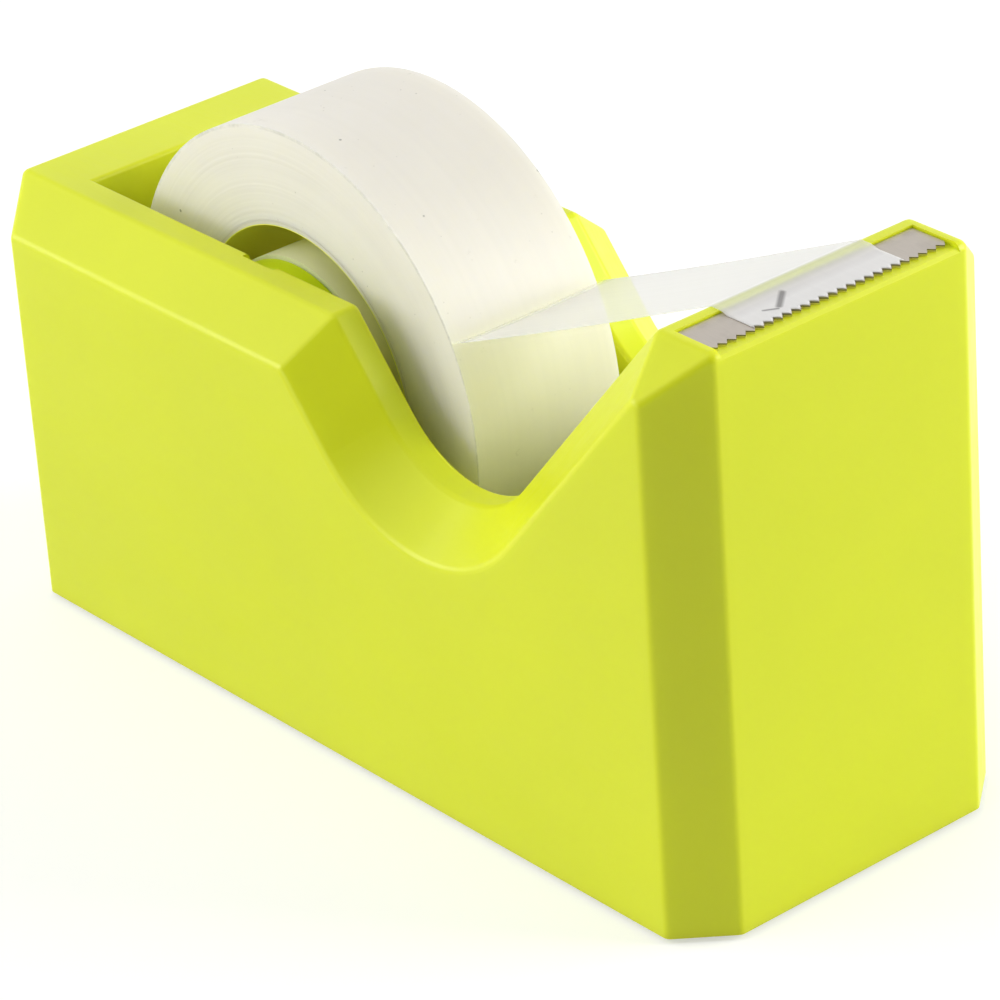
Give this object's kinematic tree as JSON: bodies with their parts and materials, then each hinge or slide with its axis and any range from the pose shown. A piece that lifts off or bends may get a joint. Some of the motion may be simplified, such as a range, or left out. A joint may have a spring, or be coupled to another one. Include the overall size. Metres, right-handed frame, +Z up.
{
  "type": "tape dispenser",
  "caption": "Weighted desk tape dispenser: faceted lime casing with a drop-in roll on a hub and a serrated steel cutter.",
  "frame": {"origin": "on the table, under the middle of the casing", "axes": "+X to the cutter end, +Y to the far side, +Z up"},
  "size_m": [0.1086, 0.043, 0.0627],
  "materials": {
    "lime_plastic": "satin gloss",
    "base_plastic": "matte",
    "foot_rubber": "matte",
    "weight_iron": "as cast",
    "screw_steel": "zinc plated",
    "blade_steel": "brushed",
    "hub_plastic": "gloss",
    "core_plastic": "translucent satin",
    "tape_film": "frosted film"
  },
  "bodies": {
    "dispenser": {"casing": "lime_plastic", "base_plate": "base_plastic", "base_screws": "screw_steel", "foot_pad": "foot_rubber", "front_weight": "weight_iron", "near_weight": "weight_iron", "far_weight": "weight_iron", "cutter_blade": "blade_steel", "tape_leader": "tape_film"},
    "hub": {"hub_barrel": "hub_plastic", "hub_cap": "hub_plastic"},
    "roll": {"tape_core": "core_plastic", "tape_roll": "tape_film"}
  },
  "joints": [
    {"name": "hub_lift", "type": "slide", "parent": "dispenser", "child": "hub", "axis": [-0.0698, 0, 0.9976], "range_m": [0, 0.06], "deforming": ["tape_leader"]},
    {"name": "roll_spin", "type": "hinge", "parent": "hub", "child": "roll", "pos_m": [-0.01615, 0, 0.0335], "axis": [0, 1, 0], "continuous": true}
  ]
}
